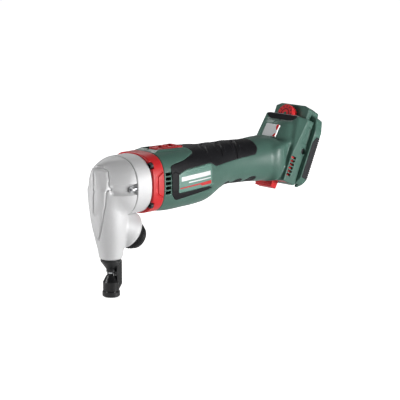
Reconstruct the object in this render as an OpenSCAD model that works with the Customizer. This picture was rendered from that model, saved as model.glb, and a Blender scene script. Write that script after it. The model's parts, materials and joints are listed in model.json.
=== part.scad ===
// Cordless right-angle nibbler, bare tool, as an assembly of separate pieces.
// Row frame: +X runs back along the tool, -X is the nose, +Z is up, Y is across.
// The origin is the centre of the die nut's lower face, on the punch axis.

/* [Head] */
// Height of the motor and crank axis above the die's lower face
axis_z = 119; // [115:1:123]
// Half width of the cast head and its flange
head_half = 31.4; // [30:0.2:32]
// Radius of the leg at its lower end
leg_r = 12.4; // [12:0.1:13]
// Length of the punch stroke
stroke = 6; // [5:0.5:6.5]
// Dip of the clamp knob's axis below the horizontal, in degrees
knob_dip = 30; // [28:1:32]

/* [Body] */
// Half width of the motor housing
body_half = 33; // [32:0.5:34]
// Half height of the handle
handle_half = 24; // [23:0.5:25]
// Wall thickness of the plastic shells
wall = 2.6; // [2.2:0.1:3]
// Thickness of the soft overmould
skin_t = 1.6; // [1.2:0.1:2]

/* [Tail] */
// Lean of the battery foot, in degrees from vertical
tilt = 25.5; // [24:0.5:27]
// Half width of the foot across its bumper strips
foot_half = 38; // [36:0.5:40]

/* [Drive] */
// Gear module
gear_m = 0.8; // [0.8:0.1:0.8]
// Teeth on the sun pinion
sun_z = 12; // [12:1:12]
// Teeth on each planet gear
planet_z = 21; // [21:1:21]

/* [Hidden] */
$fn = 64;
ring_z = sun_z + 2 * planet_z;
crank_e = stroke / 2;
planet_orbit = gear_m * (sun_z + planet_z) / 2;

// Running clearance on radius for shafts in bores
run = 0.04;

// Stations along X
head_seam_x = 10.8;
flange_x = 31.7;
body_x = 48.2;
handle_end_x = 222;
neck_x = 236;

// Die holder heights
jaw_top_z = 23;
throat_top_z = 27;
leg_z = 41.4;
sleeve_top_z = 84;
wrist_z = 98;
rod_eye_r = 8.9;
knob_z = 80.4;
sleeve_r = 9.5;
ram_r = 6;
punch_r = 2.6;
nose_r = 9.5;

// Clamp knob, measured along its own axis
boss_in = 22;
boss_end = 27.2;
boss_r = 20.6;
boss_rise = 1.6;
knob_in = 28;
knob_out = 44.4;
knob_r = 16.2;

// Turn of the side grooves towards the nose, in degrees
groove_turn = 26.5;

// Foot frame: n runs back along the motor-side normal, s runs up the foot
foot_front = 170.5;
foot_back = 203;
foot_low = 190;
foot_top = 267;
hump_top = 283.6;
plate_front = 191;
wheel_s = 269;
wheel_r = 11;

// Barrel roundness as a superellipse exponent
barrel_p = 2.45;
ring_p = 3;

// Head sections square to X: x, centre height, half width, half height, corner exponent
head_sections = [
    [head_seam_x - 0.5, axis_z, head_half, head_half, barrel_p],
    [4, axis_z - 0.3, 30.2, 31, 2.2],
    [-4, axis_z - 0.8, 26.2, 30.2, 1.9],
    [-11, axis_z - 1, 20.6, 28.6, 1.75],
    [-17, axis_z - 1.4, 14.9, 26.8, 1.8],
    [-21.5, axis_z - 1.8, 9.4, 25, 1.9],
    [-24, axis_z - 2, 3.4, 23.5, 2]
];
// Leg sections square to Z: z, centre along X, half length, half width, corner exponent
leg_sections = [
    [118, -4.4, 19.4, 20, 2.1],
    [100, -4, 19.2, 19.8, 2.1],
    [80, -2.2, 18.4, 18.6, 2.1],
    [62, -0.6, 16.2, 16, 2],
    [50, 0, 13.8, 13.8, 2],
    [leg_z + 2.4, 0, leg_r, leg_r, 2],
    [leg_z, 0, leg_r - 1.8, leg_r - 1.8, 2]
];

// Body sections: x, centre height, half width, half height, corner exponent
body_sections = [
    [body_x, axis_z, body_half - 0.4, 32.2, 3],
    [60, axis_z - 0.6, body_half, 33, 3],
    [90, axis_z - 1, body_half, 32.8, 2.9],
    [112, axis_z - 1.4, body_half - 0.6, 32, 2.7],
    [122, axis_z - 1.4, 31.4, 31.2, 2.6],
    [131, axis_z - 0.8, 29.2, 29.8, 2.5],
    [140, axis_z + 0.6, 27, 28, 2.4],
    [150, axis_z + 2.5, 25, 26, 2.3],
    [160, axis_z + 4, 23.6, 24.4, 2.2],
    [170, axis_z + 4.3, 23, handle_half, 2.2],
    [185, axis_z + 3.6, 23, handle_half, 2.2],
    [203, axis_z + 2.6, 23.6, handle_half, 2.2],
    [handle_end_x, axis_z + 2, 25.6, 25.4, 2.3]
];

function sgn_pow(v, e) = sign(v) * pow(abs(v), e);
function squircle(hw, hh, p, n = 48) =
    [for (i = [0 : n - 1]) let (a = 360 * i / n) [hw * sgn_pow(cos(a), 2 / p), hh * sgn_pow(sin(a), 2 / p)]];

// A closed skin through rounded sections that stand square to X; inset shrinks each section
module loft(sections, inset = 0, n = 40) {
    m = len(sections);
    pts = [for (q = sections) for (v = squircle(q[2] - inset, q[3] - inset, q[4], n)) [q[0], v[0], q[1] + v[1]]];
    sides = [for (k = [0 : m - 2]) for (i = [0 : n - 1]) let (j = (i + 1) % n)
        [k * n + i, (k + 1) * n + i, (k + 1) * n + j, k * n + j]];
    ends = [[for (i = [0 : n - 1]) i], [for (i = [n - 1 : -1 : 0]) (m - 1) * n + i]];
    polyhedron(points = pts, faces = concat(sides, ends), convexity = 6);
}

// A prism with a squircle outline, along X from x0 to x1
module squircle_bar(x0, x1, hw, hh, p, zc = axis_z) {
    translate([x0, 0, zc])
        rotate([90, 0, 90])
            linear_extrude(x1 - x0)
                polygon(squircle(hw, hh, p));
}

// A cylinder on the motor axis
module motor_rod(x0, x1, r) {
    translate([x0, 0, axis_z])
        rotate([0, 90, 0])
            cylinder(h = x1 - x0, r = r);
}

// A tube on the motor axis
module motor_tube(x0, x1, r_out, r_in) {
    difference() {
        motor_rod(x0, x1, r_out);
        motor_rod(x0 - 1, x1 + 1, r_in);
    }
}

// Children drawn with +Z along the clamp knob's axis, outward
module knob_frame() {
    translate([0, 0, knob_z])
        rotate([0, 90 + knob_dip, 0])
            children();
}

// Children drawn with X along the foot's normal n and Z along the foot's height s
module foot_frame() {
    rotate([0, tilt, 0])
        children();
}

// A box in the foot frame from [n0, s0] to [n1, s1], half width hw
module foot_box(n0, n1, s0, s1, hw) {
    translate([n0, -hw, s0])
        cube([n1 - n0, 2 * hw, s1 - s0]);
}

// A side-view outline drawn in X and Z, swept from y0 to y1
module side_prism(points, y0, y1) {
    translate([0, y1, 0])
        rotate([90, 0, 0])
            linear_extrude(y1 - y0)
                polygon(points);
}

/* Cast head ---------------------------------------------------------- */

// A thin slice square to X
module slice_x(q) {
    translate([q[0], 0, q[1]])
        rotate([90, 0, 90])
            linear_extrude(0.5)
                polygon(squircle(q[2], q[3], q[4]));
}

module head_skin() {
    // Domed barrel front
    hull()
        for (q = head_sections)
            slice_x(q);
    // Leg that tapers down to the die holder
    hull()
        for (q = leg_sections)
            translate([q[1], 0, q[0]])
                linear_extrude(0.1)
                    polygon(squircle(q[2], q[3], q[4]));
    // Wide boss for the clamp knob, blended into the leg
    hull() {
        knob_frame()
            translate([-boss_rise, 0, boss_in])
                cylinder(h = boss_end - boss_in, r = boss_r, $fn = 48);
        translate([0, 0, 52])
            cylinder(h = 40, r = 13, $fn = 32);
    }
}

module side_screw_place() {
    for (side = [-1, 1])
        translate([3.5, side * 28.2, axis_z])
            rotate([0, 90, 0])
                children();
}

module gear_housing() {
    color("gainsboro")
        difference() {
            head_skin();
            // The flange's barrel takes the room behind the seam
            squircle_bar(head_seam_x, flange_x + 4, head_half + 0.1, head_half + 0.1, barrel_p);
            squircle_bar(flange_x - 0.4, body_x, body_half + 0.5, 32.9, ring_p);
            // Crank space and register for the flange
            motor_rod(-7, head_seam_x + 1, 17.2);
            motor_rod(7, head_seam_x + 1, 24.1);
            // Space for the connecting rod's lower eye and the ram's fork
            translate([-9.5, -13.5, 85.3])
                cube([19, 27, 20]);
            // Seat for the die holder's sleeve
            translate([0, 0, leg_z - 1])
                cylinder(h = 90 - leg_z, r = sleeve_r + run);
            translate([0, 0, sleeve_top_z - 0.2])
                cylinder(h = 3, r = 11.6);
            // Thrust pin bore and seat for the threaded bush
            knob_frame() {
                translate([0, 0, 5])
                    cylinder(h = 40, r = 3.54);
                translate([0, 0, 18])
                    cylinder(h = 30, r = 8);
            }
            // Scooped side grooves and the clamping screw seats
            for (side = [-1, 1]) {
                translate([-18, side * 20.5, axis_z])
                    rotate([0, 90, side * groove_turn])
                        cylinder(h = 30, r = 6.2);
                translate([3, side * 28.2, axis_z])
                    rotate([0, 90, 0])
                        cylinder(h = 5.3, r = 4);
            }
            side_screw_place()
                cylinder(h = 12, r = 2.05);
        }
}

module gear_flange() {
    color("silver")
        difference() {
            union() {
                squircle_bar(head_seam_x + 0.05, flange_x, head_half, head_half, barrel_p);
                motor_rod(8, head_seam_x + 1, 24);
            }
            // Room for the crank disc, then the seat of its bearing
            motor_rod(7, 12.9, 17);
            motor_rod(12, 20.4, 14);
            motor_rod(20.4, flange_x + 1, 24.6);
            motor_rod(22, flange_x + 1, 26.5);
            side_screw_place()
                cylinder(h = 16, r = 2.05);
        }
}

module head_screws() {
    color("lightgray")
        side_screw_place()
            difference() {
                union() {
                    cylinder(h = 4, r = 3.5);
                    cylinder(h = 15.5, r = 2);
                }
                translate([0, 0, -1])
                    cylinder(h = 3.4, r = 1.75, $fn = 6);
            }
}

module flange_screw_place() {
    for (y = [-1, 1], z = [-1, 1])
        translate([flange_x + 3.2, y * 26.8, axis_z + z * 21.4])
            rotate([0, 90, 0])
                children();
}

module flange_ring() {
    color("crimson")
        difference() {
            squircle_bar(flange_x + 0.05, body_x, body_half, 32.4, ring_p);
            motor_rod(flange_x - 1, flange_x + 3, 26.5);
            motor_rod(flange_x + 2, body_x + 1, 27.5);
            flange_screw_place()
                translate([0, 0, -6])
                    cylinder(h = 6, r = 4);
            flange_screw_place()
                cylinder(h = 14, r = 1.65);
        }
}

module flange_screws() {
    color("black")
        flange_screw_place()
            difference() {
                union() {
                    translate([0, 0, -3])
                        cylinder(h = 3, r = 3.2);
                    cylinder(h = 13, r = 1.6);
                }
                translate([0, 0, -4])
                    cylinder(h = 2.8, r = 1.7, $fn = 6);
            }
}

/* Gears -------------------------------------------------------------- */

pressure = 20;
backlash = 0.06;
function inv_deg(a) = tan(a) * 180 / PI - a;
function flank_angle(z, r, grow) =
    let (rp = gear_m * z / 2, rb = rp * cos(pressure), rr = max(r, rb), a = acos(rb / rr))
    90 / z + inv_deg(pressure) - inv_deg(a) + grow / rp * 90 / PI;
function tooth(z, radii, grow, at) = concat(
    [for (r = radii) let (a = at - flank_angle(z, r, grow)) [r * cos(a), r * sin(a)]],
    [for (i = [len(radii) - 1 : -1 : 0]) let (r = radii[i], a = at + flank_angle(z, r, grow)) [r * cos(a), r * sin(a)]]);
// Outline of a gear with its first tooth on the +X side of its own plane
function gear_outline(z, root, tip, grow) =
    let (steps = 4, radii = [for (k = [0 : steps]) root + (tip - root) * k / steps])
    [for (t = [0 : z - 1]) for (p = tooth(z, radii, grow, 360 * t / z)) p];

module gear_blank(z, width, root_drop, tip_rise, grow) {
    rp = gear_m * z / 2;
    linear_extrude(width)
        polygon(gear_outline(z, rp - root_drop, rp + tip_rise, grow));
}

// Children drawn with +Z along +X on the motor axis and their X axis pointing up
module gear_place(x, y = 0, z = 0) {
    translate([x, y, axis_z + z])
        rotate([0, -90, 180])
            children();
}

gear_x = 25;
gear_w = 6;

module ring_gear() {
    color("dimgray")
        difference() {
            motor_rod(22.6, flange_x - 0.2, 26.4);
            motor_rod(22, 24.4, 23.5);
            gear_place(24.2)
                gear_blank(ring_z, 12, 0.85 * gear_m, 1.2 * gear_m, backlash);
        }
}

module planet_at(i) {
    a = 120 * i;
    gear_place(gear_x)
        rotate(a)
            translate([planet_orbit, 0, 0])
                children();
}

module planet_gear(i) {
    color("slategray")
        planet_at(i)
            difference() {
                gear_blank(planet_z, gear_w, 1.15 * gear_m, 0.85 * gear_m, -backlash);
                translate([0, 0, -1])
                    cylinder(h = gear_w + 2, r = 2.5 + run);
            }
}

module planet_gear_1() { planet_gear(0); }
module planet_gear_2() { planet_gear(1); }
module planet_gear_3() { planet_gear(2); }

module sun_pinion() {
    color("lightsteelblue")
        gear_place(gear_x - 0.4)
            difference() {
                gear_blank(sun_z, 7, 1.1 * gear_m, 0.85 * gear_m, -backlash);
                translate([0, 0, -1])
                    cylinder(h = 12, r = 2.5);
            }
}

module planet_pins() {
    color("silver")
        for (i = [0 : 2])
            planet_at(i)
                translate([0, 0, 22 - gear_x])
                    cylinder(h = gear_x - 22 + gear_w + 0.4, r = 2.5);
}

module planet_carrier() {
    color("gray")
        difference() {
            motor_rod(21.6, 24.2, 19);
            motor_rod(20, 26, 7);
            for (i = [0 : 2])
                planet_at(i)
                    translate([0, 0, -5])
                        cylinder(h = 10, r = 2.5);
        }
}

/* Crank, connecting rod and ram -------------------------------------- */

module eccentric_shaft() {
    color("silver") {
        difference() {
            union() {
                motor_rod(12, 20.9, 7.5 - run);
                motor_rod(20.9, 24.2, 7);
                motor_rod(7.6, 12.6, 16);
            }
            // Relief that balances the pin
            translate([7, 8, axis_z])
                rotate([0, 90, 0])
                    cylinder(h = 7, r = 3);
        }
        translate([0, crank_e, 0])
            motor_rod(-5, 8, 4);
    }
}

module crank_bearing() {
    color("lightgray") {
        motor_tube(13.4, 20.4, 14, 12.2);
        motor_tube(13.4, 20.4, 9.4, 7.5);
        for (k = [0 : 9])
            translate([16.9, 0, axis_z])
                rotate([36 * k, 0, 0])
                    translate([0, 10.8, 0])
                        sphere(r = 1.38, $fn = 24);
    }
}

module con_rod() {
    color("darkgray")
        difference() {
            union() {
                translate([0, crank_e, 0])
                    motor_rod(-3.4, 3.4, 10);
                translate([-3.4, crank_e, wrist_z])
                    rotate([0, 90, 0])
                        cylinder(h = 6.8, r = rod_eye_r);
                translate([-3.4, crank_e - 6, wrist_z])
                    cube([6.8, 12, axis_z - wrist_z]);
            }
            translate([0, crank_e, 0])
                motor_rod(-5, 5, 6.5);
            // Lower eye, with room for the wrist pin over the whole turn
            translate([-5, crank_e, wrist_z])
                rotate([0, 90, 0])
                    cylinder(h = 10, r = 6.6);
        }
}

module needle_bearing() {
    color("lightsteelblue")
        translate([0, crank_e, 0])
            motor_tube(-3.2, 3.2, 6.5, 4 + run);
}

module ram() {
    color("silver")
        difference() {
            union() {
                translate([0, 0, 52])
                    cylinder(h = 39, r = ram_r);
                translate([-6.8, -5, 90])
                    cube([13.6, 10, 12]);
            }
            // Fork slot for the rod
            translate([-3.8, -8, wrist_z - crank_e - rod_eye_r - 0.3])
                cube([7.6, 16, 20]);
            translate([-10, 0, wrist_z])
                rotate([0, 90, 0])
                    cylinder(h = 20, r = 2);
            // Socket for the punch
            translate([0, 0, 51])
                cylinder(h = 13, r = 3.4);
        }
}

module wrist_pin() {
    color("lightgray")
        translate([-6.8, 0, wrist_z])
            rotate([0, 90, 0])
                cylinder(h = 13.6, r = 2);
}

module punch() {
    color("whitesmoke") {
        translate([0, 0, 25])
            cylinder(h = 28, r = punch_r);
        translate([0, 0, 50])
            cylinder(h = 14, r = 3.4);
    }
}

/* Die holder ---------------------------------------------------------- */

module die_holder() {
    color("#2b2c2e")
        difference() {
            union() {
                // Sleeve inside the leg
                translate([0, 0, 39])
                    cylinder(h = sleeve_top_z - 39, r = sleeve_r - run);
                translate([0, 0, 38.6])
                    cylinder(h = leg_z - 38.9, r = 11.2);
                // Punch guide, a cone down to a short neck
                translate([0, 0, 30])
                    cylinder(h = 8.6, r1 = 5.1, r2 = 11.2);
                translate([0, 0, throat_top_z])
                    cylinder(h = 3.1, r = 5.1);
                // Rear column with flats on both sides
                intersection() {
                    translate([1.6, -8, 7])
                        cube([12, 16, 32]);
                    union() {
                        translate([0, 0, 14])
                            cylinder(h = 26, r = 11.8);
                        translate([0, 0, 8])
                            cylinder(h = 6, r1 = 8.8, r2 = 11.8);
                    }
                }
                // Lower jaw
                translate([0, 0, 16])
                    cylinder(h = jaw_top_z - 16, r1 = 8.8, r2 = 5.2);
                translate([0, 0, 7])
                    cylinder(h = 9, r = 8.8);
                translate([0, 0, 1.4])
                    cylinder(h = 6, r = 7.4);
            }
            // Punch bore and the seats for the guide bush and the ram
            translate([0, 0, 20])
                cylinder(h = 30, r = punch_r + run);
            translate([0, 0, 46])
                cylinder(h = 60, r = ram_r + 0.5);
            translate([0, 0, 58])
                cylinder(h = 60, r = 7.6);
            // Throat for the sheet
            translate([-15, -15, jaw_top_z])
                cube([16.6, 30, throat_top_z - jaw_top_z]);
            // Seat for the die and the chip passage
            translate([0, 0, 14])
                cylinder(h = 12, r = 4.2);
            translate([0, 0, 0])
                cylinder(h = 16, r = 3.6);
        }
}

module die() {
    color("dimgray")
        difference() {
            translate([0, 0, 14])
                cylinder(h = jaw_top_z - 14.2, r = 4.2);
            translate([0, 0, 13])
                cylinder(h = 12, r = punch_r + 0.1);
        }
}

module die_nut() {
    color("#1f2022")
        difference() {
            union() {
                translate([0, 0, 1.2])
                    cylinder(h = 4.4, r = nose_r);
                cylinder(h = 1.2, r1 = nose_r - 1.4, r2 = nose_r);
            }
            translate([0, 0, 1.35])
                cylinder(h = 8, r = 7.4);
            translate([0, 0, -1])
                cylinder(h = 8, r = 3.8);
        }
}

module guide_bush() {
    color("peru")
        difference() {
            translate([0, 0, 58])
                cylinder(h = sleeve_top_z - 58.4, r = 7.6);
            translate([0, 0, 50])
                cylinder(h = 50, r = ram_r + run);
        }
}

module retaining_ring() {
    color("gray")
        difference() {
            translate([0, 0, sleeve_top_z])
                cylinder(h = 1, r = 11);
            translate([0, 0, sleeve_top_z - 1])
                cylinder(h = 3, r = 7.2);
        }
}

/* Clamp knob ----------------------------------------------------------- */

module knob_bush() {
    color("lightgray")
        knob_frame()
            difference() {
                translate([0, 0, 18])
                    cylinder(h = boss_end - 18, r = 8);
                translate([0, 0, 10])
                    cylinder(h = 40, r = 5 + run);
            }
}

module clamp_screw() {
    color("silver")
        knob_frame()
            translate([0, 0, 22.2])
                cylinder(h = knob_out - 3 - 22.2, r = 5);
}

module thrust_pin() {
    color("lightsteelblue")
        knob_frame()
            translate([0, 0, 13.8])
                cylinder(h = 8.2, r = 3.5);
}

module clamp_knob() {
    color("#27282a")
        knob_frame()
            difference() {
                union() {
                    translate([0, 0, knob_in])
                        cylinder(h = 9.5, r = knob_r - 0.8);
                    // Knurl
                    translate([0, 0, knob_in + 1.2])
                        linear_extrude(7.6)
                            polygon([for (i = [0 : 71]) let (r = knob_r - (i % 2) * 0.9) [r * cos(5 * i), r * sin(5 * i)]]);
                    translate([0, 0, knob_in + 9.5])
                        cylinder(h = knob_out - knob_in - 9.5, r1 = knob_r - 0.8, r2 = knob_r - 3);
                }
                translate([0, 0, knob_in - 1])
                    cylinder(h = knob_out - 3 - knob_in + 1, r = 5);
            }
}

/* Motor ---------------------------------------------------------------- */

module bearing_shield() {
    color("dimgray")
        difference() {
            union() {
                motor_rod(flange_x + 0.2, flange_x + 2.9, 26.3);
                motor_rod(flange_x + 2.2, body_x - 7, 12);
            }
            motor_rod(flange_x, body_x, 5);
            motor_rod(34.4, body_x, 9.5);
        }
}

module ball_bearing(x, w, r_in, r_out) {
    mid = (r_in + r_out) / 2;
    step = (r_out - r_in) / 4;
    motor_tube(x, x + w, r_out, mid + step * 0.7);
    motor_tube(x, x + w, mid - step * 0.7, r_in);
    for (k = [0 : 7])
        translate([x + w / 2, 0, axis_z])
            rotate([45 * k, 0, 0])
                translate([0, mid, 0])
                    sphere(r = step * 0.7 - 0.02, $fn = 24);
}

module front_bearing() {
    color("lightgray")
        ball_bearing(34.4, 6, 3, 9.5);
}

module rear_bearing() {
    color("lightgray")
        ball_bearing(96, 5, 2.5, 8);
}

module rotor_shaft() {
    color("silver") {
        motor_rod(gear_x - 0.4, 33.6, 2.5);
        motor_rod(33.6, 94, 3 - run);
        motor_rod(94, 102, 2.5 - run);
    }
}

module rotor_core() {
    color("dimgray")
        difference() {
            motor_rod(62, 86, 12.7);
            motor_rod(60, 90, 3 - run);
            for (k = [0 : 3])
                translate([61, 0, axis_z])
                    rotate([90 * k + 45, 0, 0])
                        translate([0, 7, 0])
                            rotate([0, 90, 0])
                                cylinder(h = 30, r = 1.6);
        }
}

module stator_core() {
    color("gray")
        difference() {
            motor_rod(62, 86, 26);
            motor_rod(60, 90, 20.4);
        }
    color("gray")
        difference() {
            for (k = [0 : 5])
                translate([62, 0, axis_z])
                    rotate([60 * k, 0, 0])
                        translate([0, -2.6, 13.6])
                            cube([24, 5.2, 7.6]);
            motor_rod(60, 90, 13.6);
        }
}

module stator_windings() {
    color("chocolate")
        for (k = [0 : 5])
            translate([59, 0, axis_z])
                rotate([60 * k, 0, 0])
                    difference() {
                        translate([0, -5, 14.6])
                            cube([30, 10, 5]);
                        translate([2.9, -2.7, 14])
                            cube([24.2, 5.4, 8]);
                    }
}

module cooling_fan() {
    color("black")
        difference() {
            union() {
                motor_rod(49, 57, 8);
                motor_rod(55.4, 57, 25);
                for (k = [0 : 12])
                    translate([49.6, 0, axis_z])
                        rotate([k * 360 / 13, 0, 0])
                            translate([0, -0.8, 7])
                                cube([7, 1.6, 17.6]);
            }
            motor_rod(40, 60, 3 - run);
        }
}

/* Shells --------------------------------------------------------------- */

hump_outline = [[49.5, 140], [49.5, 150.5], [58, 152.6], [97, 150.8], [101.5, 146.5], [101.5, 140]];

module hump() {
    intersection() {
        side_prism(hump_outline, -19, 19);
        translate([0, 0, 133])
            rotate([90, 0, 90])
                linear_extrude(200)
                    polygon([[-26, 0], [-19, 13.4], [-13.5, 20], [13.5, 20], [19, 13.4], [26, 0]]);
    }
}

module plate_outline() {
    polygon([
        [-26, foot_low], [-34, foot_low + 5], [-foot_half, 201], [-foot_half, 258], [-34, 272], [-25.5, 275.5],
        [-25.5, 280], [-18, hump_top], [18, hump_top], [25.5, 280], [25.5, 275.5], [34, 272],
        [foot_half, 258], [foot_half, 201], [34, foot_low + 5], [26, foot_low]]);
}

forehead_outline = [[240, 134], [240, 136.93], [253.6, 158], [256.6, 160.4], [266, 160.6], [262, 138]];

module foot_plate() {
    translate([plate_front, 0, 0])
        rotate([90, 0, 90])
            linear_extrude(foot_back - plate_front)
                plate_outline();
}

module foot_block(inset = 0) {
    hull() {
        foot_box(foot_front + inset, plate_front - inset * 0.5, foot_low + inset, 217 - inset, 32.5 - inset);
        foot_box(foot_front + inset, plate_front - inset * 0.5, foot_low + inset, foot_top - inset, 24 - inset);
        foot_box(foot_front + 9.5 + inset, plate_front - inset * 0.5, foot_low + inset, foot_top - inset, 32.5 - inset);
    }
}

module neck(inset = 0) {
    hull() {
        slice_x([handle_end_x - 10, axis_z + 2.2, 24.5 - inset, 24.6 - inset, 2.2]);
        slice_x([neck_x, axis_z + 2.5, 27 - inset, 23.9 - inset, 2.6]);
    }
    hull() {
        slice_x([neck_x, axis_z + 2.5, 27 - inset, 23.9 - inset, 2.6]);
        foot_frame() {
            foot_box(foot_front + 2, foot_front + 3, foot_low + 1.2 + inset, 259 - inset, 21 - inset);
            foot_box(foot_front + 2, foot_front + 3, foot_low + 8 + inset, 246 - inset, 27 - inset);
        }
    }
}

module shell_solid() {
    loft(body_sections);
    hump();
    neck();
    foot_frame() {
        foot_block();
        // Raised back behind the speed control
        translate([183.4, 0, 0])
            rotate([90, 0, 90])
                linear_extrude(plate_front - 183.4)
                    polygon([[-25.5, 262], [-25.5, 280], [-18, hump_top], [18, hump_top], [25.5, 280], [25.5, 262]]);
    }
    // Forehead that carries the emblem
    intersection() {
        side_prism(forehead_outline, -24, 24);
        foot_frame()
            translate([192.6, 0, 200])
                cylinder(h = 80, r = 32.9);
    }
}

rear_bearing_x = 95.5;
module shell_hollow() {
    // Motor bay, with ribs that hold the stator and the rear bearing
    difference() {
        loft(body_sections, wall);
        for (x = [63, 82])
            translate([x, -40, 60])
                cube([3, 80, 120]);
        translate([rear_bearing_x, -40, 60])
            cube([6, 80, 120]);
    }
    motor_rod(50, 94, 26);
    motor_rod(90, rear_bearing_x + 5.5, 8);
    motor_rod(100, 110, 4);
    // Passage for the switch rod and the leads
    translate([61.4, -4, 145.2])
        cube([60, 8, 2]);
    for (y = [-12, 12])
        translate([80, y - 3, axis_z - 22])
            cube([40, 6, 5]);
    neck(wall);
    foot_frame()
        foot_block(wall);
}

module vent_slots() {
    for (k = [0 : 4], side = [-1, 1])
        translate([50.4, side * 33 - 6, 107.6 + k * 5])
            cube([7.6, 12, 3.2]);
    foot_frame()
        for (k = [0 : 5], side = [-1, 1])
            translate([172.4, side * 33 - 5, 197.4 + k * 4.1])
                cube([7.4, 10, 2.6]);
}

// Places of the shell screws: x, z, half the length of their posts, y of the head's seat
screw_spots = [[112, 92.5, 24.5, 20.4], [212, 133, 22, 20.4], [268.5, 127.4, 31, -28]];

module shell_bores() {
    for (q = screw_spots)
        translate([q[0], -50, q[1]])
            rotate([-90, 0, 0])
                cylinder(h = 100, r = 2);
}

module shell_posts() {
    for (q = screw_spots)
        translate([q[0], -q[2], q[1]])
            rotate([-90, 0, 0])
                cylinder(h = 2 * q[2], r = 4.4);
}

module battery_channel() {
    foot_frame() {
        foot_box(192.4, foot_back + 1, 180, 262, 26);
        foot_box(194.6, 198.6, 180, 262, 31);
    }
}

module slider_pocket() {
    translate([57.5, -10.6, 146.6])
        cube([41.4, 21.2, 12]);
}

module half_space(side) {
    translate([0, side > 0 ? 0.02 : -80.02, 0])
        cube([400, 80, 250]);
}

module shell(side) {
    difference() {
        intersection() {
            union() {
                difference() {
                    shell_solid();
                    shell_hollow();
                }
                shell_posts();
            }
            half_space(side);
        }
        shell_bores();
        vent_slots();
        slider_pocket();
        foot_frame()
            foot_box(plate_front, foot_back + 1, 170, 290, 45);
        wheel_pocket();
        filter_pocket();
        grip_solid();
        nameplate_solid();
        foot_frame() {
            tail_pad_solid();
            bezel_solid();
            pot_solid();
        }
        emblem_solid();
        screw_heads();
    }
}

module screw_heads() {
    for (q = screw_spots)
        translate([q[0], q[3], q[1]])
            rotate([-sign(q[3]) * 90, 0, 0])
                cylinder(h = 20, r = 3.6);
}

// Rear frame of the foot, with the rails that take the battery
module battery_shoe() {
    color("#2f5a4c")
        difference() {
            foot_frame()
                foot_plate();
            battery_channel();
            bumper_solid();
            foot_frame()
                terminal_solid();
        }
}

module left_shell() {
    color("#2f5a4c")
        shell(-1);
}

module right_shell() {
    color("#2f5a4c")
        shell(1);
}

module shell_screws() {
    color("black")
        for (q = screw_spots)
            translate([q[0], q[3], q[1]])
                rotate([-sign(q[3]) * 90, 0, 0]) {
                    cylinder(h = 2.4, r = 3.3);
                    translate([0, 0, -34])
                        cylinder(h = 34.5, r = 1.96);
                }
}

/* Overmoulds and plates ------------------------------------------------- */

grip_outline = [[58.5, 137], [66, 138.6], [80, 140.4], [99, 145.4], [101.6, 147], [101.6, 160], [200, 160],
    [205, 156], [207, 148], [206.6, 138], [201, 131.3], [131, 127.4], [121, 133], [92, 130.4], [69, 130],
    [69, 106], [118, 107.6], [123, 104.8], [66, 99], [59.6, 106]];
nameplate_outline = [[69.4, 106.6], [118, 108.2], [121, 110], [121, 132.4], [92, 129.8], [69.4, 129.4]];
pad_outlines = [
    [[150, 96], [152, 101.5], [157, 104.5], [163, 104.8], [166, 102.5], [168, 96]],
    [[169.5, 96], [171.5, 101.5], [176.5, 105], [184, 105.4], [187, 103], [188.6, 96]],
    [[190, 96], [192, 101.5], [197, 105.6], [204, 106.2], [207, 104], [208.4, 96]]];

module skin(depth) {
    difference() {
        loft(body_sections);
        loft(body_sections, depth);
    }
}

module grip_solid() {
    intersection() {
        skin(skin_t);
        union() {
            side_prism(grip_outline, -50, 50);
            for (p = pad_outlines)
                side_prism(p, -50, 50);
        }
    }
}

module grip_half(side) {
    color("#232326")
        intersection() {
            grip_solid();
            half_space(side);
        }
}

module grip_left() { grip_half(-1); }
module grip_right() { grip_half(1); }

module nameplate_solid() {
    intersection() {
        skin(0.8);
        side_prism(nameplate_outline, -50, 50);
    }
}

module nameplate_half(side) {
    color("#7fa596")
        intersection() {
            nameplate_solid();
            translate([0, side > 0 ? 20 : -60, 0])
                cube([300, 40, 200]);
        }
}

module nameplate_left() { nameplate_half(-1); }
module nameplate_right() { nameplate_half(1); }

module bumper_solid() {
    foot_frame()
        intersection() {
            foot_plate();
            union()
                for (side = [-1, 1])
                    translate([0, side * (foot_half - 1), 0])
                        rotate([90, 0, 0])
                            translate([0, 0, -2])
                                linear_extrude(4)
                                    polygon([[192.6, 201.6], [202.99, 201.6], [202.99, 252], [197, 252], [192.6, 244]]);
        }
}

module bumper_half(side) {
    color("#55565c")
        intersection() {
            bumper_solid();
            translate([0, side > 0 ? 20 : -60, 0])
                cube([400, 40, 250]);
        }
}

module bumper_left() { bumper_half(-1); }
module bumper_right() { bumper_half(1); }

module tail_pad_solid() {
    intersection() {
        foot_block();
        foot_box(foot_front - 1, foot_front + 1.8, 257, foot_top + 1, 23);
    }
}

module tail_pad() {
    color("#1c1c1f")
        foot_frame()
            tail_pad_solid();
}

module bezel_solid() {
    translate([foot_front + 1.82, -22, foot_top - 4])
        cube([10.6, 44, 5]);
}

module dial_bezel() {
    color("#8d8f94")
        foot_frame()
            difference() {
                bezel_solid();
                translate([173.6, -wheel_r - 0.9, 250])
                    cube([9.6, 2 * wheel_r + 1.8, 30]);
                translate([180, -17.5, 250])
                    cylinder(h = 30, r = 1.5);
            }
}

module status_led() {
    color("#101012")
        foot_frame()
            translate([180, -17.5, 259])
                cylinder(h = 9.4, r = 1.5);
}

// Children drawn with X up the forehead and Z out of it
module emblem_frame() {
    translate([249, 0, 151])
        rotate([0, -57, 0])
            children();
}

module emblem_solid() {
    emblem_frame()
        translate([-7.8, -10.2, -2])
            cube([15.6, 20.4, 2.6]);
}

module emblem_plate() {
    color("#c9cbcd")
        emblem_solid();
}

/* Controls -------------------------------------------------------------- */

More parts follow.
